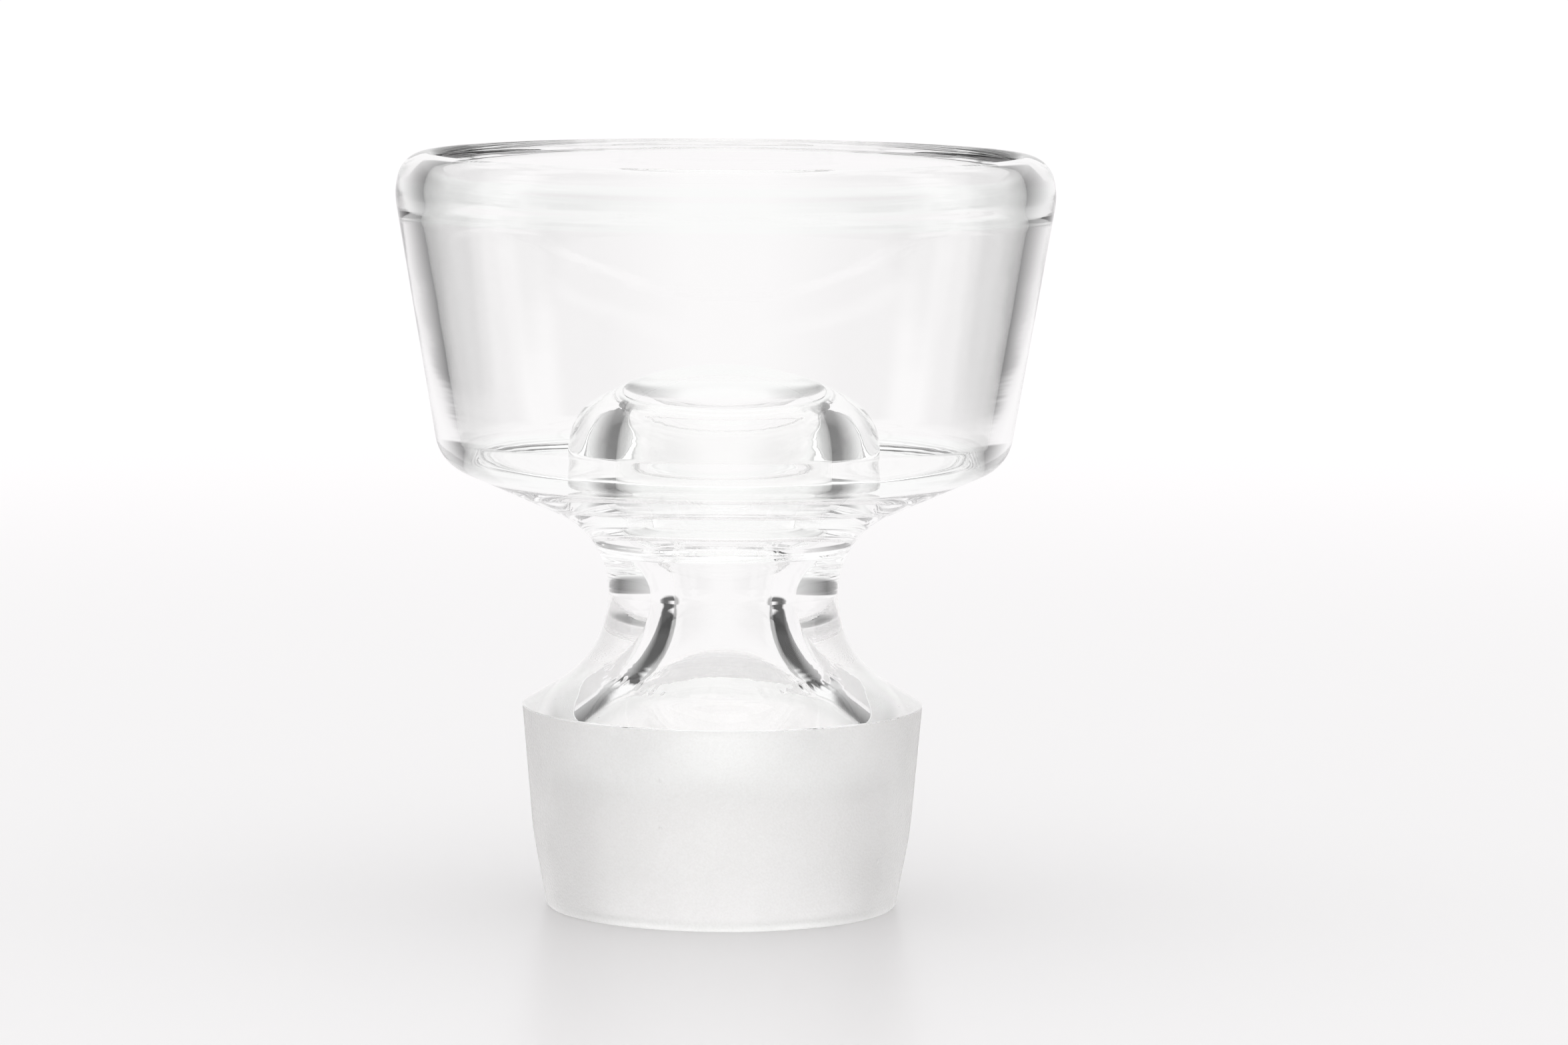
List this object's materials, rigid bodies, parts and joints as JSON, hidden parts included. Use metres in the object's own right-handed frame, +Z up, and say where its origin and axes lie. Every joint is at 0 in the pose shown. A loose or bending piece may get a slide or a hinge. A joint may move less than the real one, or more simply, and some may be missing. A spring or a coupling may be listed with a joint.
{
  "type": "glass bowl funnel",
  "caption": "Thick-walled clear glass bowl funnel with a rounded rim, a hollow domed centre, an hourglass neck with a bore, and a frosted male ground taper joint it stands on.",
  "frame": {"origin": "centre of the foot ring's flat face", "axes": "+Z up along the axis of revolution, from the ground joint to the rim"},
  "size_m": [0.0798, 0.0798, 0.0917],
  "materials": {
    "clear_glass": "polished clear borosilicate",
    "ground_glass": "finely ground, frosted outside; polished inside"
  },
  "bodies": {
    "root": {"ground_cone": "ground_glass", "joint_shoulder": "clear_glass", "waist_neck": "clear_glass", "bowl_cup": "clear_glass", "centre_spire": "clear_glass"}
  },
  "joints": []
}
